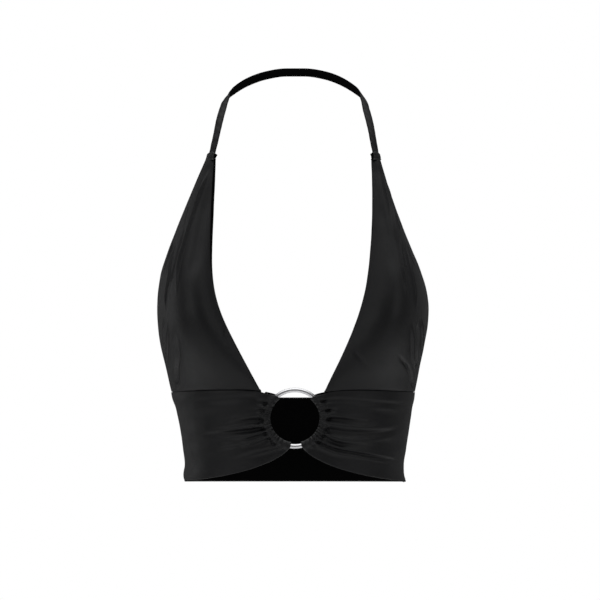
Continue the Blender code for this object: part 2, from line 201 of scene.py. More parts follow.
# Gathers that run out from the ring, and the soft pulls beyond them, in millimetres. Each passes through
# its places, which are a distance from the ring and a share up the band. A negative depth is raised.
BAND_GATHERS = {
    "right": (
        # depth, half width, share of its length to rise, share to fall, then its places
        (2.20, 2.2, 0.06, 0.80, (2, 0.580), (26, 0.575), (54, 0.560)),
        (2.40, 1.8, 0.05, 0.75, (2, 0.452), (30, 0.478), (80, 0.505)),
        (2.00, 1.6, 0.08, 0.70, (2, 0.385), (20, 0.376), (46, 0.376)),
        (2.30, 2.3, 0.08, 0.75, (2, 0.285), (26, 0.296), (60, 0.288)),
        (2.40, 2.4, 0.08, 0.75, (3, 0.205), (22, 0.238), (60, 0.215)),
        (0.80, 1.5, 0.30, 0.50, (26, 0.340), (45, 0.335), (62, 0.330)),
        (1.60, 2.6, 0.15, 0.70, (2, 0.820), (9, 0.833), (20, 0.850)),
        (1.40, 1.6, 0.15, 0.70, (2, 0.715), (8, 0.718), (16, 0.722)),
        (1.20, 1.3, 0.15, 0.70, (3, 0.545), (8, 0.548), (15, 0.550)),
        (0.70, 3.4, 0.15, 0.60, (4, 0.905), (42, 0.875), (118, 0.885)),
        (0.50, 3.0, 0.20, 0.60, (4, 0.130), (30, 0.150), (64, 0.170)),
        (0.60, 5.0, 0.40, 0.40, (36, 0.700), (70, 0.680), (108, 0.700)),
        (0.55, 5.0, 0.40, 0.40, (50, 0.420), (80, 0.430), (112, 0.450)),
    ),
    "left": (
        (2.20, 2.0, 0.06, 0.75, (2, 0.567), (24, 0.580), (60, 0.602)),
        (2.30, 2.6, 0.05, 0.65, (2, 0.422), (24, 0.440), (40, 0.470), (74, 0.530), (106, 0.615)),
        (2.00, 1.6, 0.08, 0.75, (2, 0.325), (18, 0.305), (50, 0.345), (66, 0.355)),
        (1.90, 1.5, 0.05, 0.75, (1, 0.215), (24, 0.222), (40, 0.240), (74, 0.240), (124, 0.200)),
        (1.30, 1.4, 0.12, 0.70, (2, 0.275), (24, 0.280), (60, 0.300)),
        (1.50, 1.5, 0.15, 0.75, (2, 0.700), (7, 0.702), (18, 0.708)),
        (1.00, 2.4, 0.10, 0.60, (2, 0.858), (50, 0.842), (131, 0.858)),
        (1.00, 1.8, 0.20, 0.60, (1, 0.862), (7, 0.856), (14, 0.850)),
        (0.90, 1.2, 0.15, 0.70, (2, 0.395), (7, 0.396), (14, 0.402)),
        (0.60, 2.8, 0.20, 0.60, (4, 0.110), (26, 0.120), (56, 0.130)),
        (0.60, 5.0, 0.40, 0.40, (40, 0.720), (76, 0.705), (112, 0.715)),
        (0.55, 5.0, 0.40, 0.40, (56, 0.400), (86, 0.410), (114, 0.420)),
    ),
}

# Short puckers in the cloth over the wire.
RING_PUCKERS = {
    "right": (
        # share up, depth and half width in millimetres
        (0.045, 0.45, 1.3), (0.130, 0.55, 1.1), (0.205, 0.90, 1.2), (0.262, 0.45, 0.8), (0.300, 0.90, 1.0),
        (0.365, 0.50, 0.7), (0.388, 0.90, 0.9), (0.452, 1.00, 0.9), (0.515, 0.70, 0.8), (0.578, 0.90, 1.0),
        (0.642, 0.70, 0.5), (0.670, 0.80, 0.5), (0.698, 0.80, 0.5), (0.730, 0.70, 0.6), (0.822, 0.80, 1.2),
        (0.905, 0.40, 1.2),
    ),
    "left": (
        (0.060, 0.45, 1.3), (0.140, 0.50, 1.1), (0.212, 1.00, 0.9), (0.245, 0.70, 0.6), (0.278, 0.90, 0.7),
        (0.312, 0.60, 0.6), (0.328, 0.90, 0.8), (0.375, 0.60, 0.7), (0.424, 1.00, 1.0), (0.495, 0.45, 1.1),
        (0.567, 1.00, 1.0), (0.635, 0.45, 0.8), (0.702, 1.00, 0.9), (0.780, 0.50, 1.2), (0.860, 0.80, 1.1),
        (0.940, 0.35, 1.1),
    ),
}
GATHER_DEPTH = 1.12  # of the depths above
BAND_SPREAD = (62, 29)  # millimetres up the band that one share covers at the ring, and what the side adds
BAND_COLUMNS = 118  # from the side seam to the ring
BAND_TUNNEL_COLUMNS = 18
BAND_RETURN_COLUMNS = 10
BAND_ROWS = 150


def smooth_rows(at, table):
    """The table's other columns at each value of its first column, on smooth curves through its rows."""
    at = np.asarray(at, float)
    rows, values = table[:, 0], table[:, 1:]
    slopes = np.gradient(values, rows, axis=0)
    index = np.clip(np.searchsorted(rows, at) - 1, 0, len(rows) - 2)
    span = (rows[index + 1] - rows[index])[..., None]
    share = (at - rows[index])[..., None] / span
    rest = 1 - share
    return (
        (1 + 2 * share) * rest**2 * values[index]
        + share * rest**2 * span * slopes[index]
        + share**2 * (3 - 2 * share) * values[index + 1]
        - share**2 * rest * span * slopes[index + 1]
    )


def ease(share):
    """0 to 1 with level ends."""
    share = np.clip(share, 0, 1)
    return share * share * (3 - 2 * share)


def side_value(side, values):
    """The first column of a table for the right side, or the second for the left one."""
    return values[..., 0] if side == "right" else values[..., 1]


def body_sections(flat, width, depth):
    """For each width and depth, points (x, depth) from the centre round to the side, and lengths to them."""
    turn = np.linspace(0, math.pi / 2, 241)
    x = flat + (width - flat)[..., None] * np.sin(turn)
    out = depth[..., None] * np.cos(turn)
    x = np.concatenate([np.zeros_like(x[..., :1]), x], axis=-1)
    out = np.concatenate([out[..., :1], out], axis=-1)
    steps = np.hypot(np.diff(x, axis=-1), np.diff(out, axis=-1))
    length = np.concatenate([np.zeros_like(x[..., :1]), np.cumsum(steps, axis=-1)], axis=-1)
    return x, out, length


def at_length(x, out, length, reach):
    """The point of each section at its own length from the start, or straight on past its ends."""
    index = np.clip((length <= reach[..., None]).sum(axis=-1) - 1, 0, length.shape[-1] - 2)[..., None]
    low = np.take_along_axis(length, index, -1)[..., 0]
    high = np.take_along_axis(length, index + 1, -1)[..., 0]
    share = (reach - low) / np.maximum(high - low, 1e-9)
    picked = []
    for values in (x, out):
        start = np.take_along_axis(values, index, -1)[..., 0]
        end = np.take_along_axis(values, index + 1, -1)[..., 0]
        picked.append(start + (end - start) * share)
    return picked


def front_sections(side, height):
    """Sections of the bands' front at heights above the hem, and the lengths along them."""
    width = side_value(side, smooth_rows(height * 1000, BAND_WIDTHS)) / 1000
    return body_sections(FRONT_FLAT, width, HEM_FRONT_DEPTH + FRONT_LEAN * height)


def front_form(side, reach, height):
    """Points of the bands' front at lengths round from the centre and heights above the hem."""
    x, out = at_length(*front_sections(side, height), reach)
    return np.stack([SIDES[side] * x, -out, height], axis=-1)


def band_lines(side, share, toward_side):
    """Along each line of cloth: length from the centre, height, its ring angle, and how far each point is
    from the ring and from the side seam."""
    line = smooth_rows(share, BAND_LINES)
    angle = np.radians(side_value(side, line))
    slope = np.radians(line[:, 2])
    side_height = line[:, 4] / 1000
    girth = front_sections(side, side_height)[2][..., -1]
    start = np.stack([
        SIDES[side] * RING_ASIDE + RING_RADIUS * np.sin(angle),
        RING_HEIGHT + RING_RADIUS * np.cos(angle),
    ], axis=-1)
    leave = start + np.stack([np.cos(slope), np.sin(slope)], axis=-1) * line[:, 3:4] / 1000
    end = np.stack([girth - SIDE_GAP, side_height], axis=-1)
    arrive = end + np.stack([-line[:, 5], line[:, 6]], axis=-1) / 1000
    step = toward_side[None, :, None]
    rest = 1 - step
    points = (rest**3 * start[:, None] + 3 * rest**2 * step * leave[:, None]
              + 3 * rest * step**2 * arrive[:, None] + step**3 * end[:, None])
    distance = np.linalg.norm(points - start[:, None], axis=-1)
    to_side = np.linalg.norm(points - end[:, None], axis=-1)
    return points[..., 0], points[..., 1], angle, distance, to_side


def creases(table, along, across, spread, lip):
    """How far creases sink each point, in metres. Each is a trough with a low raised lip on either side."""
    sunk = np.zeros(np.broadcast(along, across).shape)
    for depth, half, rise, fall, *places in table:
        course = np.array(places)
        start, end = course[0, 0], course[-1, 0]
        way = (along - start) / (end - start)
        middle = smooth_rows(np.clip(along, start, end), course)[..., 0]
        away = np.clip((across - middle) * spread / half, -6, 6)
        profile = np.exp(-away**2) - lip * (np.exp(-(away - 1.9)**2) + np.exp(-(away + 1.9)**2))
        sunk += depth / 1000 * profile * ease(way / rise) * ease((1 - way) / fall)
    return sunk


def edge_roll(distance, radius):
    """How far a folded cloth edge rolls in, at a distance from it: round, through 60 degrees."""
    inside = np.clip(radius * math.sin(math.pi / 3) - distance, 0, None)
    return radius - np.sqrt(radius**2 - np.minimum(inside, radius)**2)


def unevenness(across, along, size, seed):
    """Slow, slight waves, because no real cloth lies quite true."""
    waves = np.zeros(np.broadcast(across, along).shape)
    for step in range(5):
        turn = seed + 2.4 * step
        length = size * (0.6 + 0.35 * step)
        travelled = across * math.cos(turn) + along * math.sin(turn)
        waves += np.sin(travelled * 2 * math.pi / length + 1.7 * turn)
    return waves / 5


def surface_normals(points, middle):
    """Unit normals of a grid of points, turned away from a middle point."""
    normals = np.cross(np.gradient(points, axis=1), np.gradient(points, axis=0))
    normals /= np.maximum(np.linalg.norm(normals, axis=-1, keepdims=True), 1e-12)
    return normals if ((points - middle) * normals).sum() > 0 else -normals


def edged_shares(count):
    """Shares across a piece, close together near both edges so that these can be round."""
    near = np.array([0, 0.0025, 0.006, 0.010, 0.015, 0.022])
    return np.concatenate([near, np.linspace(0.030, 0.970, count - 11), 1 - near[::-1]])


ring_lean = math.atan(FRONT_LEAN)
ring_up = np.array([0, -math.sin(ring_lean), math.cos(ring_lean)])
ring_forward = np.array([0, -math.cos(ring_lean), -math.sin(ring_lean)])
ring_centre = np.array([RING_ASIDE, -(HEM_FRONT_DEPTH + FRONT_LEAN * RING_HEIGHT - CLOTH / 2), RING_HEIGHT])
body_middle = np.array([0.0, 0.0, 0.1])


def ring_puckers(side, share):
    """How far the puckers over the wire sink each line of cloth, in metres."""
    sunk = np.zeros_like(share)
    for at, depth, half in RING_PUCKERS[side]:
        away = (share - at) * BAND_SPREAD[0] / half
        lips = np.exp(-(away - 1.7)**2) + np.exp(-(away + 1.7)**2)
        sunk += depth / 1000 * (np.exp(-away**2) - 0.35 * lips)
    return sunk


def band_form(side):
    """Outer face of a front band: from the side seam to the ring, round its wire and back behind."""
    share = edged_shares(BAND_ROWS)
    toward_side = np.concatenate([1 - np.array([0, 0.002, 0.005, 0.009, 0.014]),
                                  np.linspace(0.98, 0, BAND_COLUMNS - 4)**1.15])
    reach, height, angle, distance, to_side = band_lines(side, share, toward_side)
    body = front_form(side, reach, height)
    spread = BAND_SPREAD[0] + BAND_SPREAD[1] * ease(distance / 0.1)
    puckers = ring_puckers(side, share)
    sunk = GATHER_DEPTH * creases(BAND_GATHERS[side], distance * 1000, share[:, None], spread, 0.34)
    sunk += puckers[:, None] * (1 - ease((distance - 0.003) / 0.006))
    stitched = np.exp(-((distance - CHANNEL_STITCH) / CHANNEL_STITCH_SPREAD)**2)
    sunk += (CHANNEL_STITCH_DEPTH + 0.9 * puckers[:, None]) * stitched
    under_cup = ease((reach - 0.034) / 0.006)
    to_top, to_hem = (1 - share[:, None]) * spread / 1000, share[:, None] * spread / 1000
    sunk += edge_roll(to_top, EDGE_ROLL) * (1 - under_cup) + edge_roll(to_top, SEAM_ROLL) * under_cup
    sunk += edge_roll(to_hem, EDGE_ROLL) + edge_roll(to_side, EDGE_ROLL)
    waves = unevenness(distance, share[:, None] * BAND_HEIGHT, 0.030, 1.0 + SIDES[side])
    sunk += BAND_UNEVENNESS * waves * ease(distance / 0.03)
    normals = surface_normals(body, body_middle)
    near_ring = (1 - ease(distance / 0.02))[..., None]
    push = normals * (1 - near_ring) + ring_forward * near_ring
    rise = (TUNNEL_RADIUS - CLOTH / 2) * (1 - ease(distance / RING_RISE_SPREAD))
    body = body + ring_forward * rise[..., None] - push * sunk[..., None]
    body[..., 2] -= TOP_SAG * np.exp(-((distance - 0.009) / 0.006)**2) * share[:, None]**5
    radial = np.sin(angle)[:, None] * np.array([SIDES[side], 0, 0]) + np.cos(angle)[:, None] * ring_up
    wire = ring_centre + radial * RING_RADIUS
    turn = np.pi * np.linspace(0, 1, BAND_TUNNEL_COLUMNS + 1)[None, 1:, None]
    rim = (edge_roll((1 - share) * BAND_SPREAD[0] / 1000, EDGE_ROLL)
           + edge_roll(share * BAND_SPREAD[0] / 1000, EDGE_ROLL) + puckers)
    smoothed_behind = 1 - 0.75 * ease(turn / (math.pi / 2))
    radius = TUNNEL_RADIUS - rim[:, None, None] * smoothed_behind
    tunnel = wire[:, None] + (ring_forward * np.cos(turn) - radial[:, None] * np.sin(turn)) * radius
    back_share = RETURN_SHARE * np.linspace(0, 1, BAND_RETURN_COLUMNS + 1)[1:]
    reach, height, _, _, _ = band_lines(side, share, back_share)
    back = front_form(side, reach, height) - ring_forward * (TUNNEL_RADIUS + CLOTH / 2)
    back += ring_forward * rim[:, None, None] * 0.25 * (1 - ease(back_share[None, :, None] / 0.05))
    return np.concatenate([body, tunnel, back], axis=1)


def wall_by_wire(points):
    """Share of the cloth's full wall at each point: less where a pucker presses it onto the wire."""
    from_centre = points - ring_centre
    forward = from_centre @ ring_forward
    aside = np.linalg.norm(from_centre - forward[..., None] * ring_forward, axis=-1)
    room = np.hypot(aside - RING_RADIUS, forward) - RING_WIRE / 2 - WIRE_CLEARANCE
    return np.clip(room / CLOTH, LEAST_WALL, 1)


def grid_lengths(points, axis):
    """Length along the grid to each point, which is its place on the flat cloth."""
    steps = np.linalg.norm(np.diff(points, axis=axis), axis=-1)
    start = np.zeros_like(np.take(steps, [0], axis=axis))
    return np.concatenate([start, np.cumsum(steps, axis=axis)], axis=axis)


def cloth_shell(name, points, middle, wall, outer, inner, shade_painted_faces=None, tube=False):
    """A cloth piece from a grid of points on its outer face, with its wall added on the inside. The wall's
    inner faces and the marked faces take the inner material, a near-black jersey of painted shade. A tube's
    first and last columns are the same line, and are joined."""
    rows, columns = points.shape[:2]
    normals = np.cross(np.gradient(points, axis=1), np.gradient(points, axis=0))
    faces_out = ((points - middle) * normals).sum() > 0
    index = np.arange(rows * columns).reshape(rows, columns)
    quads = np.stack([index[:-1, :-1], index[:-1, 1:], index[1:, 1:], index[1:, :-1]], axis=-1).reshape(-1, 4)
    if not faces_out:
        quads = quads[:, ::-1]
    mesh = bpy.data.meshes.new(name)
    placed = points + np.array(hem_middle)
    mesh.from_pydata(placed.reshape(-1, 3).tolist(), [], quads.tolist())
    across, along = grid_lengths(points, 1).ravel(), grid_lengths(points, 0).ravel()
    flat = mesh.uv_layers.new(name="flat_cloth")
    corners = np.empty(len(mesh.loops), np.int32)
    mesh.loops.foreach_get("vertex_index", corners)
    flat.data.foreach_set("uv", np.column_stack([across[corners], along[corners]]).ravel())
    mesh.materials.append(outer)
    mesh.materials.append(inner)
    if shade_painted_faces is not None:
        mesh.polygons.foreach_set("material_index", shade_painted_faces.astype(np.int32).ravel())
    if tube:
        form = bmesh.new()
        form.from_mesh(mesh)
        bmesh.ops.remove_doubles(form, verts=form.verts, dist=0.00001)
        form.to_mesh(mesh)
        form.free()
    mesh.shade_smooth()
    piece = bpy.data.objects.new(name, mesh)
    bpy.context.scene.collection.objects.link(piece)
    solidify = piece.modifiers.new("wall", "SOLIDIFY")
    solidify.thickness = wall
    solidify.offset = -1
    # The wall's inner faces take the inner material: painted shade.
    solidify.material_offset = 1
    return piece


def thin_wall(piece, shares):
    """Gives each point of a piece its own share of the wall."""
    group = piece.vertex_groups.new(name="wall_share")
    for index, share in enumerate(shares.ravel().tolist()):
        group.add([index], share, "REPLACE")
    piece.modifiers["wall"].vertex_group = group.name


WALE_WIDTH = 0.0006
MOTTLE_SCALE = 90


def jersey_group():
    """Fine knit and soft mottling, from the flat cloth's own lengths and from place."""
    group = bpy.data.node_groups.new("jersey", "ShaderNodeTree")
    for socket_name, value in (("Wale Width", WALE_WIDTH), ("Mottle Scale", MOTTLE_SCALE)):
        socket = group.interface.new_socket(socket_name, in_out="INPUT", socket_type="NodeSocketFloat")
        socket.default_value = value
    for socket_name in ("Height", "Mottle"):
        group.interface.new_socket(socket_name, in_out="OUTPUT", socket_type="NodeSocketFloat")
    nodes, links = group.nodes, group.links
    given = nodes.new("NodeGroupInput")
    made = nodes.new("NodeGroupOutput")
    flat = nodes.new("ShaderNodeUVMap")
    flat.uv_map = "flat_cloth"
    parts = nodes.new("ShaderNodeSeparateXYZ")
    links.new(flat.outputs["UV"], parts.inputs["Vector"])

    def maths(operation, first, second):
        """The result of one sum on two sockets or numbers."""
        node = nodes.new("ShaderNodeMath")
        node.operation = operation
        for socket, value in zip(node.inputs, (first, second)):
            if isinstance(value, (int, float)):
                socket.default_value = value
            else:
                links.new(value, socket)
        return node.outputs["Value"]

    turns = maths("DIVIDE", 2 * math.pi, given.outputs["Wale Width"])
    across = maths("MULTIPLY", parts.outputs["X"], turns)
    along = maths("MULTIPLY", maths("MULTIPLY", parts.outputs["Y"], turns), 1.35)
    loops = maths("SINE", maths("ADD", across, maths("MULTIPLY", maths("SINE", along, 0), 0.9)), 0)
    place = nodes.new("ShaderNodeTexCoord")
    mottle = nodes.new("ShaderNodeTexNoise")
    mottle.inputs["Detail"].default_value = 3
    links.new(place.outputs["Object"], mottle.inputs["Vector"])
    links.new(given.outputs["Mottle Scale"], mottle.inputs["Scale"])
    height = maths("ADD", maths("MULTIPLY", loops, 0.35), maths("MULTIPLY", mottle.outputs["Fac"], 1.2))
    links.new(height, made.inputs["Height"])
    links.new(mottle.outputs["Fac"], made.inputs["Mottle"])
    return group


jersey = jersey_group()


def jersey_material(name, dark, light, roughness, specular, sheen, knit_depth):
    """Black jersey: two close tones, a soft sheen and a knit too fine to count."""
    material = bpy.data.materials.new(name)
    material.use_nodes = True
    nodes, links = material.node_tree.nodes, material.node_tree.links
    shader = nodes["Principled BSDF"]
    shader.inputs["Sheen Weight"].default_value = sheen
    shader.inputs["Sheen Roughness"].default_value = 0.45
    turned_away = nodes.new("ShaderNodeLayerWeight")
    turned_away.inputs["Blend"].default_value = 0.5
    fuzz = nodes.new("ShaderNodeMapRange")
    fuzz.inputs["From Min"].default_value = 0.45
    fuzz.inputs["From Max"].default_value = 0.95
    fuzz.inputs["To Min"].default_value = specular
    fuzz.inputs["To Max"].default_value = specular * 0.15
    links.new(turned_away.outputs["Facing"], fuzz.inputs["Value"])
    links.new(fuzz.outputs["Result"], shader.inputs["Specular IOR Level"])
    knit = nodes.new("ShaderNodeGroup")
    knit.node_tree = jersey
    knit.inputs["Wale Width"].default_value = WALE_WIDTH
    knit.inputs["Mottle Scale"].default_value = MOTTLE_SCALE
    tone = nodes.new("ShaderNodeMixRGB")
    tone.inputs["Color1"].default_value = (*dark, 1)
    tone.inputs["Color2"].default_value = (*light, 1)
    rough = nodes.new("ShaderNodeMapRange")
    rough.inputs["To Min"].default_value = roughness - 0.05
    rough.inputs["To Max"].default_value = roughness + 0.05
    bump = nodes.new("ShaderNodeBump")
    bump.inputs["Strength"].default_value = 0.5
    bump.inputs["Distance"].default_value = knit_depth
    links.new(knit.outputs["Mottle"], tone.inputs["Fac"])
    links.new(knit.outputs["Mottle"], rough.inputs["Value"])
    links.new(knit.outputs["Height"], bump.inputs["Height"])
    links.new(tone.outputs["Color"], shader.inputs["Base Color"])
    links.new(rough.outputs["Result"], shader.inputs["Roughness"])
    links.new(bump.outputs["Normal"], shader.inputs["Normal"])
    return material


black_jersey = jersey_material(
    "black_jersey", (0.0058, 0.0060, 0.0068), (0.0078, 0.0080, 0.0088), 0.40, 0.26, 0.006, 0.0001)
# The same jersey made near black: painted shade for the cloth's inner faces and for faces marked as lying in
# shade.
jersey_painted_shade = jersey_material(
    "jersey_painted_shade", (0.0010, 0.0010, 0.0011), (0.0016, 0.0016, 0.0017), 0.85, 0.045, 0.0, 0.0001)

for side in SIDES:
    node = side + "_front_band"
    points = band_form(side)
    front_band = cloth_shell("sewn_" + node, points, body_middle, CLOTH, black_jersey, jersey_painted_shade)
    thin_wall(front_band, wall_by_wire(points))
    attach(front_band, "root")
    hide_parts(node)

# ------------------------------------------------------------------------------------------ back band
# One panel of doubled jersey round the back, from side seam to side seam, with folded edges above and
# below. Its side turnings lie under the front bands.

BACK_FLAT = 0.020
HEM_BACK_DEPTH = 0.082
BACK_LEAN = 0.066  # back for each metre up
BACK_HEM_DROP = 0.056  # for each metre back from the side seams
BACK_TOP_DROP = 0.091
UNDERBUST_HEIGHT = 0.091
BACK_HEIGHT = 0.088  # in its middle, for its edges and creases
BACK_UNEVENNESS = 0.0003
BACK_COLUMNS, BACK_ROWS = 210, 64

# Soft pulls from the side seams towards the middle of the back, in millimetres. Places are a length from
# the middle, negative to the right, and a share up the band.
BACK_PULLS = (
    # depth, half width, share of its length to rise, share to fall, then its places
    (0.60, 4.0, 0.10, 0.80, (-168, 0.72), (-120, 0.66), (-58, 0.60)),
    (0.45, 3.0, 0.12, 0.80, (-167, 0.42), (-130, 0.43), (-84, 0.47)),
    (0.40, 3.6, 0.10, 0.80, (-166, 0.20), (-126, 0.24), (-70, 0.22)),
    (-0.40, 2.6, 0.20, 0.80, (-164, 0.58), (-128, 0.56), (-92, 0.54)),
    (0.60, 3.8, 0.80, 0.10, (66, 0.62), (122, 0.64), (168, 0.74)),
    (0.45, 3.0, 0.80, 0.12, (92, 0.38), (132, 0.40), (167, 0.36)),
    (0.40, 3.4, 0.80, 0.10, (60, 0.18), (118, 0.17), (166, 0.14)),
    (-0.35, 2.8, 0.80, 0.20, (100, 0.52), (134, 0.50), (164, 0.54)),
    (0.30, 7.0, 0.50, 0.50, (-70, 0.30), (-10, 0.34), (64, 0.28)),
)


def back_form():
    """Outer face of the back band, with its two side turnings."""
    share = edged_shares(BACK_ROWS)
    middle = np.linspace(0.010, 0.990, BACK_COLUMNS)
    near = np.array([0, 0.002, 0.005])
    share, across = np.meshgrid(share, np.concatenate([near, middle, 1 - near[::-1]]), indexing="ij")
    height = UNDERBUST_HEIGHT * share
    left = across >= 0.5
    widths = smooth_rows(height * 1000, BAND_WIDTHS) / 1000
    x, out, length = body_sections(BACK_FLAT, np.where(left, widths[..., 1], widths[..., 0]),
                                   HEM_BACK_DEPTH + BACK_LEAN * height)
    girth = length[..., -1]
    reach = np.abs(across - 0.5) * 2 * girth
    x, out = at_length(x, out, length, reach)
    out = np.maximum(out, SIDE_GAP)
    low = -BACK_HEM_DROP * out
    high = UNDERBUST_HEIGHT - BACK_TOP_DROP * out
    points = np.stack([np.where(left, x, -x), out, low + (high - low) * share], axis=-1)
    along = np.where(left, reach, -reach)
    sunk = creases(BACK_PULLS, along * 1000, share, BACK_HEIGHT * 1000, 0.2)
    sunk += edge_roll((1 - share) * BACK_HEIGHT, EDGE_ROLL) + edge_roll(share * BACK_HEIGHT, EDGE_ROLL)
    sunk += edge_roll(girth - reach, EDGE_ROLL)
    sunk += BACK_UNEVENNESS * unevenness(along, share * BAND_HEIGHT, 0.045, 4.0)
    normals = surface_normals(points, body_middle)
    points = points - normals * sunk[..., None]
    turnings = []
    for column, outward in ((0, -1), (-1, 1)):
        edge, inward = points[:, column], -normals[:, column]
        steps = [edge + np.array([0, -forward, 0]) + inward * deep
                 for forward, deep in ((0.0003, 0.0014), (0.0012, 0.0018), (0.0040, 0.0016))]
        turnings.append(np.stack(steps if outward > 0 else steps[::-1], axis=1))
    return np.concatenate([turnings[0], points, turnings[1]], axis=1)


points = back_form()
back_band = cloth_shell("sewn_back_band", points, body_middle, CLOTH, black_jersey, jersey_painted_shade)
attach(back_band, "root")
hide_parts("back_band")

# ------------------------------------------------------------------------------------------ cups
# One panel of doubled jersey each, eased into the underbust seam, drawn in to a narrow top, and folded
# along the neckline and the armhole. Each is filled out, with the soft creases that its pull makes.

CUP_TOP_HEIGHT = 0.3245
SEAM_LIFT_FADE = 16  # how soon a cup's rows come level above its curved seam
TUCK_END = 0.003  # from the side seam, where the tucked-in edge has run out
TUCK_FADE = 0.005

# Sections in millimetres and degrees, from the neckline over the crest to the armhole. The turn is how
# far the cloth has turned from facing forward when it reaches the armhole.
CUP_SECTIONS = np.array([
    # height, right neck, left neck, neck depth, crest, crest depth, right arm, left arm, arm depth, turn
    (91, 32.8, 29.5, 93.2, 33.0, 93.2, 125.4, 122.6, 0.2, 90),
    (103, 38.3, 34.4, 96.5, 44.0, 97.5, 127.9, 124.8, 3.5, 88),
    (115, 44.2, 39.8, 99.5, 58.0, 103.0, 130.3, 126.8, 9.0, 85),
    (140, 56.8, 51.1, 105.0, 79.0, 113.5, 135.7, 131.5, 20.0, 80),
    (165, 69.0, 60.9, 107.5, 90.0, 119.0, 138.2, 135.2, 32.0, 77),
    (190, 77.3, 68.5, 105.0, 95.0, 116.0, 137.5, 133.9, 42.0, 74),
    (215, 81.0, 72.8, 98.5, 97.0, 107.5, 133.2, 126.4, 50.0, 69),
    (240, 81.3, 75.4, 90.0, 95.0, 96.5, 124.3, 115.7, 55.0, 62),
    (270, 80.2, 77.0, 79.0, 90.0, 83.5, 112.4, 104.0, 58.0, 52),
    (300, 79.0, 77.2, 68.0, 85.0, 70.0, 100.2, 93.7, 57.5, 42),
    (320, 78.8, 77.0, 59.5, 82.0, 60.2, 91.6, 88.0, 55.5, 35),
])

# Creases in millimetres. Places are a height and a share across from the neckline; negative is raised.
CUP_CREASES = {
    "right": (
        # depth, half width, share of its length to rise, share to fall, then its places
        (-2.80, 1.5, 0.35, 0.20, (186, 0.42), (200, 0.42), (217, 0.44), (240, 0.45), (265, 0.475),
         (288, 0.49), (304, 0.45), (317, 0.34)),
        (2.30, 6.0, 0.25, 0.35, (198, 0.29), (224, 0.24), (256, 0.25), (281, 0.25), (312, 0.22)),
        (0.90, 2.2, 0.30, 0.30, (192, 0.53), (217, 0.53), (240, 0.57), (264, 0.60)),
        (-1.50, 1.5, 0.30, 0.30, (168, 0.62), (192, 0.62), (208, 0.60), (224, 0.66), (246, 0.74)),
        (0.80, 2.2, 0.35, 0.35, (204, 0.69), (217, 0.72), (233, 0.79), (252, 0.79)),
        (-0.90, 1.4, 0.30, 0.30, (206, 0.88), (217, 0.82), (233, 0.85), (252, 0.91)),
        (0.60, 1.6, 0.30, 0.30, (254, 0.60), (268, 0.72), (282, 0.80)),
        (-1.50, 1.4, 0.30, 0.35, (112, 0.90), (125, 0.80), (135, 0.72), (146, 0.66), (155, 0.62),
         (168, 0.56)),
        (2.40, 3.2, 0.30, 0.35, (120, 0.93), (135, 0.83), (148, 0.765), (160, 0.71), (170, 0.68)),
        (2.20, 5.5, 0.15, 0.35, (92, 0.72), (105, 0.69), (116, 0.64), (125, 0.57), (135, 0.53), (146, 0.49),
         (160, 0.45)),
        (0.45, 2.0, 0.40, 0.40, (144, 0.03), (150, 0.05), (158, 0.03)),
        (-0.45, 3.5, 0.35, 0.35, (96, 0.92), (99, 0.80), (101, 0.66)),
    ),
    "left": (
        (-2.80, 1.5, 0.35, 0.20, (180, 0.41), (208, 0.39), (224, 0.40), (240, 0.43), (256, 0.45), (265, 0.49),
         (281, 0.59), (300, 0.69), (316, 0.76)),
        (1.20, 6.0, 0.30, 0.35, (200, 0.30), (224, 0.30), (248, 0.31), (272, 0.28), (300, 0.30)),
        (-1.40, 1.6, 0.30, 0.30, (170, 0.53), (185, 0.54), (201, 0.55), (217, 0.58), (233, 0.64),
         (250, 0.74)),
        (0.70, 2.2, 0.35, 0.35, (202, 0.46), (217, 0.47), (233, 0.52), (249, 0.62)),
        (0.70, 1.8, 0.35, 0.35, (214, 0.72), (228, 0.72), (244, 0.80)),
        (-0.60, 1.4, 0.30, 0.30, (252, 0.66), (265, 0.72), (277, 0.80)),
        (-2.60, 1.8, 0.30, 0.35, (110, 0.80), (118, 0.74), (125, 0.66), (135, 0.60), (146, 0.55), (155, 0.51),
         (166, 0.49)),
        (3.60, 3.4, 0.30, 0.35, (114, 0.86), (124, 0.77), (135, 0.70), (146, 0.665), (156, 0.62),
         (168, 0.58)),
        (-2.00, 1.6, 0.30, 0.35, (128, 0.92), (138, 0.83), (146, 0.78), (155, 0.72), (170, 0.67)),
        (3.20, 3.4, 0.25, 0.45, (93, 0.82), (100, 0.78), (107, 0.73), (116, 0.63), (125, 0.50), (132, 0.42)),
        (0.60, 3.0, 0.40, 0.40, (112, 0.26), (122, 0.18), (134, 0.08), (142, 0.02)),
        (-0.45, 3.5, 0.35, 0.35, (96, 0.94), (99, 0.84), (101, 0.70)),
    ),
}

# How far the neckline's turning shows inside its folded edge, in millimetres. The turning is painted near
# black as shade.
NECKLINE_TURNING = np.array([
    # height, right, left
    (80, 0.2, 0.2),
    (185, 0.4, 0.3),
    (205, 1.0, 0.5),
    (222, 1.9, 0.6),
    (245, 2.5, 0.7),
    (285, 2.9, 0.8),
    (305, 2.7, 0.8),
    (325, 1.8, 0.6),
])
CREASE_DEPTH = 1.25  # of the depths above
TOP_RISE = 0.0014  # at a cup's top, where its gathered cloth fills the sleeve
TOP_RISE_LENGTH = 0.014
CUP_UNEVENNESS = 0.00025
CUP_COLUMNS, CUP_ROWS = 120, 215


def smoothed(values, passes):
    """Softens columns of values along the rows, with the ends held."""
    values = values.copy()
    for _ in range(passes):
        values[1:-1] = (values[:-2] + 2 * values[1:-1] + values[2:]) / 4
    return values


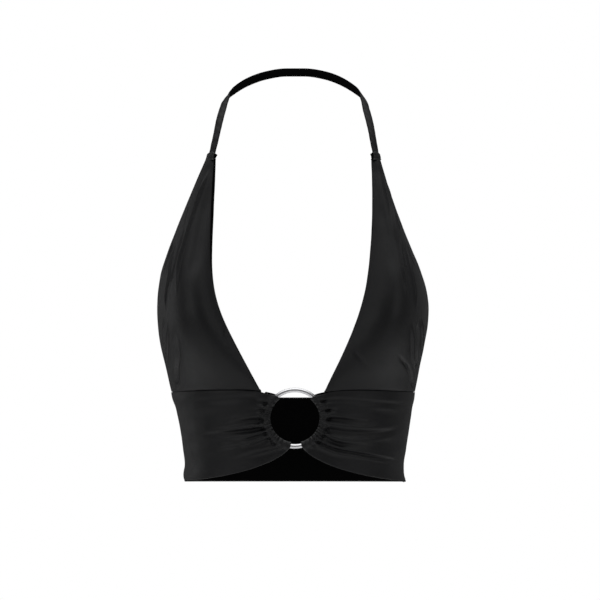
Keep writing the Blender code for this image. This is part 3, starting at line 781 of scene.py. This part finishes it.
def cup_sections(side, height):
    """Sections (x, depth) of a cup at each height, and the lengths along them."""
    fine = np.linspace(UNDERBUST_HEIGHT, CUP_TOP_HEIGHT, 230)
    softened = smoothed(smooth_rows(fine * 1000, CUP_SECTIONS), 60) / 1000
    row = np.stack([np.interp(height, fine, column) for column in softened.T], axis=-1)
    neck, arm = (row[:, 0], row[:, 5]) if side == "right" else (row[:, 1], row[:, 6])
    neck_depth, crest, crest_depth, arm_depth = row[:, 2], row[:, 3], row[:, 4], row[:, 7]
    end_turn = np.radians(row[:, 8] * 1000)[:, None]
    rise = np.linspace(0, 1, 80)[None, :-1]
    inner_x = neck[:, None] + (crest - neck)[:, None] * rise
    inner_out = crest_depth[:, None] - (crest_depth - neck_depth)[:, None] * (1 - rise)**2
    turn = end_turn * np.linspace(0, 1, 200)[None, :]
    outer_x = crest[:, None] + (arm - crest)[:, None] * np.sin(turn) / np.sin(end_turn)
    turned_share = (1 - np.cos(turn)) / (1 - np.cos(end_turn))
    outer_out = crest_depth[:, None] - (crest_depth - arm_depth)[:, None] * turned_share
    x = np.concatenate([inner_x, outer_x], axis=1)
    out = np.concatenate([inner_out, outer_out], axis=1)
    steps = np.hypot(np.diff(x, axis=1), np.diff(out, axis=1))
    length = np.concatenate([np.zeros((len(x), 1)), np.cumsum(steps, axis=1)], axis=1)
    return x, out, length


def cup_form(side):
    """Outer face of a cup, from the neckline's turning to the armhole, and from under the band to its top.
    Also marks the faces of the turning, which show the cloth's inside and take a near-black material as
    painted shade."""
    share = np.linspace(0, 1, CUP_ROWS)**1.25
    height = UNDERBUST_HEIGHT + (CUP_TOP_HEIGHT - UNDERBUST_HEIGHT) * share
    x, out, length = cup_sections(side, height)
    width = length[:, -1:]
    turning = side_value(side, smooth_rows(height * 1000, NECKLINE_TURNING))[:, None] / 1000
    near = np.array([0, 0.25, 0.6, 1.0, 1.5]) / 1000
    middle = np.linspace(0, 1, CUP_COLUMNS)[None, 1:-1]
    reach = np.concatenate([turning + near, turning + near[-1] + (width - turning - 2 * near[-1]) * middle,
                            width - near[::-1]], axis=1)
    even_x = np.stack([np.interp(*row) for row in zip(reach, length, x)])
    even_out = np.stack([np.interp(*row) for row in zip(reach, length, out)])
    band_reach, band_height, _, _, _ = band_lines(side, np.array([0.999, 1.0]), np.linspace(0, 1, 90))
    seam = np.interp(x[:, :1] + reach, band_reach[1], band_height[1]) + SEAM_GAP
    lift = (seam - UNDERBUST_HEIGHT) * (1 - share[:, None])**SEAM_LIFT_FADE
    points = np.stack([SIDES[side] * even_x, -even_out, height[:, None] + lift], axis=-1)
    normals = surface_normals(points, body_middle)
    sunk = CREASE_DEPTH * creases(CUP_CREASES[side], height[:, None] * 1000, reach / width, width * 1000, 0.0)
    near_top = ease((height[:, None] - CUP_TOP_HEIGHT + TOP_RISE_LENGTH) / TOP_RISE_LENGTH)
    sunk -= TOP_RISE * near_top * (1 - ease((reach / width - 0.45) / 0.4))
    sunk += edge_roll(reach - turning, EDGE_ROLL) + edge_roll(width - reach, EDGE_ROLL)
    above_seam = height[:, None] - UNDERBUST_HEIGHT
    sunk += 0.0002 * np.exp(-above_seam / 0.0006) + 0.0003 * np.exp(-above_seam / 0.003)
    sunk += CUP_UNEVENNESS * unevenness(reach, height[:, None], 0.040, 7.0 + SIDES[side])
    first, first_normals = points[0], normals[0]
    points = points - normals * sunk[..., None]
    tucked = ease((width[0] - reach[0] - TUCK_END) / TUCK_FADE)[:, None]
    under = [first + np.array([0, 0, -down]) * tucked - first_normals * deep
             for down, deep in ((0.0035, 0.0026), (0.0015, 0.0024), (0.0005, 0.0019), (0.0002, 0.0012))]
    last_middle = points[-1].mean(axis=0) + np.array([0, 0.0012, 0])
    around_middle = points[-1] - last_middle
    steps_in = ((0.00015, 0.0003, 0.95), (0.0003, 0.0012, 0.86), (0.0024, 0.0018, 0.70))
    over = [last_middle + around_middle * narrowed + np.array([-0.2 * SIDES[side] * up, back, up])
            for up, back, narrowed in steps_in]
    points = np.concatenate([np.stack(under), points, np.stack(over)], axis=0)
    into = np.array([0.0, 1.0, 0.0])
    toward_middle = np.array([-SIDES[side], 0.0, 0.0])
    shown_under = np.repeat(turning[:1], len(under), 0)
    shown_over = np.outer([0.6, 0.2, 0.1], turning[-1])
    shown = np.concatenate([shown_under, turning, shown_over])
    fold = [points[:, 0] + toward_middle * shown * outward + into * deep
            for outward, deep in ((0.5, 0.0060), (0.95, 0.0032), (0.9, 0.0020), (0.55, 0.0009))]
    points = np.concatenate([np.stack(fold, axis=1), points], axis=1)
    # The turning's faces take the near-black material: painted shade.
    shade_painted_faces = np.zeros((points.shape[0] - 1, points.shape[1] - 1), bool)
    shade_painted_faces[:, :len(fold)] = True
    return points, shade_painted_faces


for side in SIDES:
    node = side + "_cup"
    points, shade_painted_faces = cup_form(side)
    cup = cloth_shell("sewn_" + node, points, body_middle, CLOTH, black_jersey, jersey_painted_shade, shade_painted_faces)
    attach(cup, "root")
    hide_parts(node)

# ------------------------------------------------------------------------------------------ neck strap
# A narrow strip of jersey, folded and sewn into a flat tube, that runs from one cup's top round the nape
# to the other. Its inner face and its two edges take painted shade: a near-black copy of the jersey.

STRAP_WIDTH = 0.0086
STRAP_THICKNESS = 0.0034
STRAP_WALL = 0.0006
STRAP_SQUARENESS = 0.95  # 1 is an oval, and less is squarer
STRAP_TWIST = 0.10  # how far the rolled cloth's winding shows, as a share of the strap's half width
STRAP_TWIST_LENGTH = 0.0105

# Middle of the strap in millimetres, and how far its outer face has turned from facing forward.
STRAP_PATH = np.array([
    # right x, left x, depth, height, turn
    (83.3, 81.9, 54.7, 327.6, 42),
    (82.3, 81.3, 52.0, 332.0, 43),
    (79.4, 79.0, 44.5, 345.5, 36),
    (77.4, 77.4, 36.0, 356.0, 30),
    (75.4, 75.3, 25.5, 367.0, 24),
    (73.0, 72.9, 13.5, 377.5, 24),
    (69.8, 70.4, 0.0, 388.5, 36),
    (63.3, 64.3, -13.5, 397.8, 84),
    (52.0, 52.9, -31.0, 407.0, 108),
    (40.0, 41.6, -46.5, 413.6, 130),
    (28.5, 30.5, -57.0, 417.8, 148),
    (14.0, 16.0, -65.5, 421.0, 165),
    (-1.0, 1.0, -68.0, 421.5, 180),
])
STRAP_COLUMNS, STRAP_STEPS = 40, 360


def strap_frames():
    """Middles, directions and outer directions of the strap, from the right cup to the left one."""
    share = np.linspace(0, 1, STRAP_STEPS + 1)
    from_middle = np.abs(share - 0.5) * 2
    rows = np.column_stack([np.linspace(1, 0, len(STRAP_PATH)), STRAP_PATH])[::-1]
    path = smooth_rows(from_middle, rows)
    left = share >= 0.5
    x = np.where(left, path[:, 1], -path[:, 0])
    sign = np.where(left, 1.0, -1.0)
    middle = smoothed(np.column_stack([x, -path[:, 2], path[:, 3]]) / 1000, 6)
    turn = np.radians(smoothed(path[:, 4:5], 6)[:, 0])
    direction = np.gradient(middle, axis=0)
    direction /= np.linalg.norm(direction, axis=1, keepdims=True)
    face = np.column_stack([sign * np.sin(turn), -np.cos(turn), np.zeros_like(turn)])
    face -= direction * (face * direction).sum(axis=1, keepdims=True)
    face /= np.linalg.norm(face, axis=1, keepdims=True)
    return middle, direction, face


# A lighter copy of the jersey for the strap: painted light, for the light its rolled face catches.
strap_jersey_painted_light = jersey_material(
    "strap_jersey_painted_light", (0.0070, 0.0072, 0.0080), (0.0090, 0.0092, 0.0100), 0.38, 0.12, 0.006, 0.0001)


def strap_form():
    """Outer face of the strap's flattened tube, and the faces that lie in its own shade, which is painted on
    them.
    """
    middle, direction, face = strap_frames()
    sideways = np.cross(direction, face)
    angle = 2 * np.pi * np.linspace(0, 1, STRAP_COLUMNS + 1)
    out_x = np.sign(np.cos(angle)) * np.abs(np.cos(angle))**STRAP_SQUARENESS
    out_y = np.sign(np.sin(angle)) * np.abs(np.sin(angle))**STRAP_SQUARENESS
    run = grid_lengths(middle[:, None], 0)
    wound = run * 2 * math.pi / STRAP_TWIST_LENGTH - unevenness(0, run, 0.05, 2.0)
    winding = np.sin(2 * angle[None, :] - wound)
    swell = 1 + STRAP_TWIST * winding[..., None]
    points = (middle[:, None] + sideways[:, None] * out_x[None, :, None] * STRAP_WIDTH / 2
              + face[:, None] * out_y[None, :, None] * swell * STRAP_THICKNESS / 2)
    face_angle = (angle[1:] + angle[:-1]) / 2
    # The inner face and both edges: painted shade.
    shaded = np.sin(face_angle) < 0.05 + 0.4 * np.clip((np.abs(np.cos(face_angle)) - 0.55) / 0.45, 0, 1)
    return points, np.repeat(shaded[None], STRAP_STEPS, 0)


points, shaded_faces = strap_form()
strap_middle = strap_frames()[0][:, None]
neck_strap = cloth_shell(
    "sewn_neck_strap", points, strap_middle, STRAP_WALL, strap_jersey_painted_light, jersey_painted_shade, shaded_faces, True)
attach(neck_strap, "root")
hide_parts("neck_strap")

# ------------------------------------------------------------------------------------------ turned tops
# The top of each cup, turned over and gathered into a small sleeve that is stitched across the strap's end.

FOLD_WALL = 0.0007
FOLD_SQUARENESS = 0.72
FOLD_LEVEL_SHARE = 0.6  # of its height, over which its sections tilt from level to square with the strap
FOLD_DROOP = 0.0025  # of its upper corners
STITCHED_AT = 0.16  # the row of stitches that draws it in, as a share up
PLEAT_DEPTH = 0.045  # as a share of its half width

# Sections in millimetres.
FOLD_SECTIONS = np.array([
    # share up, width, depth, toward the middle
    (0.00, 14.2, 4.6, 0.9),
    (0.25, 13.2, 5.2, 0.5),
    (0.45, 12.4, 5.4, 0.4),
    (0.70, 13.4, 5.6, 0.7),
    (0.90, 12.4, 5.4, 0.3),
    (1.00, 10.8, 4.9, 0.0),
])
FOLD_COLUMNS, FOLD_ROWS = 110, 36


def fold_form(side):
    """Outer face of a turned top, its middle line, and the faces turned in at its inner edge, which take
    painted shade.
    """
    share = np.linspace(0, 1, FOLD_ROWS + 1)
    sections = smooth_rows(share, FOLD_SECTIONS) / 1000
    x, out, length = cup_sections(side, np.array([CUP_TOP_HEIGHT]))
    middle_x = np.interp(length[0, -1] / 2, length[0], x[0])
    middle_out = np.interp(length[0, -1] / 2, length[0], out[0])
    low = np.array([SIDES[side] * middle_x, CLOTH / 2 - middle_out, CUP_TOP_HEIGHT + SEAM_GAP])
    path = STRAP_PATH[1]
    high = np.array([SIDES[side] * side_value(side, path), -path[2], path[3]]) / 1000
    axis = (high - low) / np.linalg.norm(high - low)
    turn = math.radians(path[4])
    face = np.array([SIDES[side] * math.sin(turn), -math.cos(turn), 0])
    face -= axis * face.dot(axis)
    face /= np.linalg.norm(face)
    sideways = np.cross(axis, face)
    angle = 2 * np.pi * np.linspace(0, 1, FOLD_COLUMNS + 1)
    out_x = np.sign(np.cos(angle)) * np.abs(np.cos(angle))**FOLD_SQUARENESS
    out_y = np.sign(np.sin(angle)) * np.abs(np.sin(angle))**FOLD_SQUARENESS
    pleats = np.sin(7 * angle + 0.8 * SIDES[side]) + 0.6 * np.sin(11 * angle + 1.9)
    drawn_in = np.exp(-((share[:, None] - STITCHED_AT) / 0.08)**2)
    swell = 1 + PLEAT_DEPTH * pleats[None, :] * (0.4 + 0.6 * share[:, None]) - 0.10 * drawn_in
    out = (sideways * out_x[None, :, None] * sections[:, None, 0:1] / 2
           + face * out_y[None, :, None] * sections[:, None, 1:2] / 2) * swell[..., None]
    out[..., 2] *= ease(share / FOLD_LEVEL_SHARE)[:, None]
    droop = axis * (FOLD_DROOP * np.abs(out_x)**3)[None, :, None] * share[:, None, None]
    centre = low + (high - low) * share[:, None, None] - sideways * SIDES[side] * sections[:, None, 2:3]
    # Faces near the inner edge are painted near black as shade.
    inner_edge = 0.0 if side == "right" else math.pi
    from_inner_edge = np.abs((angle[1:] + angle[:-1]) / 2 - inner_edge)
    from_inner_edge = np.minimum(from_inner_edge, 2 * math.pi - from_inner_edge)
    return centre + out - droop, centre, np.repeat(from_inner_edge[None] < 0.55, FOLD_ROWS, 0)


for side in SIDES:
    node = side + "_top_fold"
    points, centre, shaded_faces = fold_form(side)
    top_fold = cloth_shell(
        "sewn_" + node, points, centre, FOLD_WALL, black_jersey, jersey_painted_shade, shaded_faces, True)
    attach(top_fold, "root")
    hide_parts(node)

# ------------------------------------------------------------------------------------------ ring
# A bought trim ring of 4.5 mm wire, cast, polished and chrome plated. The folded band ends hold it.

RING_TURNS, RING_AROUND = 220, 36
bpy.ops.mesh.primitive_torus_add(
    major_radius=RING_RADIUS,
    minor_radius=RING_WIRE / 2,
    major_segments=RING_TURNS,
    minor_segments=RING_AROUND,
)
ring = bpy.context.active_object
ring.name = "chrome_ring"
ring_sideways = Vector(np.cross(ring_up, ring_forward))
ring_turn = Matrix((ring_sideways, Vector(ring_up), Vector(ring_forward))).transposed().to_4x4()
ring.data.transform(Matrix.Translation(hem_middle + Vector(ring_centre)) @ ring_turn)
ring.location = (0, 0, 0)
ring.data.shade_smooth()
chrome = bpy.data.materials.new("chrome_plate")
chrome.use_nodes = True
chrome_nodes, chrome_links = chrome.node_tree.nodes, chrome.node_tree.links
chrome_shader = chrome_nodes["Principled BSDF"]
chrome_shader.inputs["Base Color"].default_value = (0.86, 0.86, 0.88, 1)
chrome_shader.inputs["Metallic"].default_value = 1.0
chrome_place = chrome_nodes.new("ShaderNodeTexCoord")
chrome_wear = chrome_nodes.new("ShaderNodeTexNoise")
chrome_wear.inputs["Scale"].default_value = 260
chrome_wear.inputs["Detail"].default_value = 6
chrome_rough = chrome_nodes.new("ShaderNodeMapRange")
chrome_rough.inputs["To Min"].default_value = 0.06
chrome_rough.inputs["To Max"].default_value = 0.16
chrome_links.new(chrome_place.outputs["Object"], chrome_wear.inputs["Vector"])
chrome_links.new(chrome_wear.outputs["Fac"], chrome_rough.inputs["Value"])
chrome_links.new(chrome_rough.outputs["Result"], chrome_shader.inputs["Roughness"])
ring.data.materials.append(chrome)
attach(ring, "root")
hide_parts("ring")
